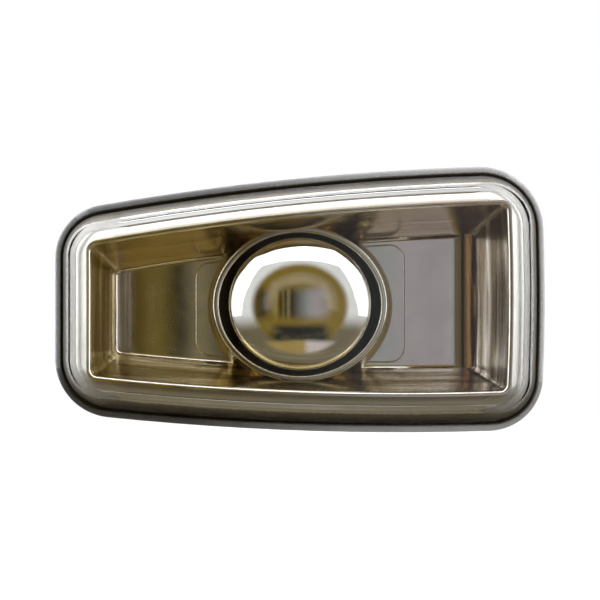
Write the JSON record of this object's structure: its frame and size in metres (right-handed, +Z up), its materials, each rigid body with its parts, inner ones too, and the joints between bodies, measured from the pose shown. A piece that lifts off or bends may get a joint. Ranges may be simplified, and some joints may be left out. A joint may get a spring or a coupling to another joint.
{
  "type": "side repeater lamp",
  "caption": "Clear side repeater lamp for a car wing: tapered rounded lens over a bright tray with an oval collar and chromed bulb dome, twist-in amber bulb holder behind, hook and spring clip.",
  "frame": {"origin": "where the bulb's axis crosses the panel seal's rear face, which lies on the car's panel", "axes": "+Z up, +X along the lamp from its narrow end to its wide end, the lens faces -Y"},
  "size_m": [0.088, 0.0466, 0.0479],
  "materials": {
    "lens_clear": "polished",
    "reflector_bright": "polished",
    "shield_bright": "polished",
    "housing_black": "satin",
    "seal_rubber": "matte",
    "spring_steel": "satin",
    "holder_grey": "satin",
    "washer_rubber": "matte",
    "contact_brass": "satin",
    "amber_glass": "gloss",
    "lead_wire": "satin",
    "filament_wire": "satin",
    "bead_glass": "gloss"
  },
  "bodies": {
    "lamp": {"lens": "lens_clear", "reflector": "reflector_bright", "bulb_shield": "shield_bright", "housing": "housing_black", "panel_seal": "seal_rubber", "retaining_clip": "spring_steel"},
    "holder": {"bulb_holder": "holder_grey", "holder_seal": "washer_rubber", "contact_left": "contact_brass", "contact_right": "contact_brass", "bulb_envelope": "amber_glass", "bulb_lead_left": "lead_wire", "bulb_lead_right": "lead_wire", "bulb_filament": "filament_wire", "bulb_bead": "bead_glass"}
  },
  "joints": [
    {"name": "holder_twist", "type": "hinge", "parent": "lamp", "child": "holder", "pos_m": [0, 0, 0], "axis": [0, -1, 0], "range_deg": [0, 45]}
  ]
}
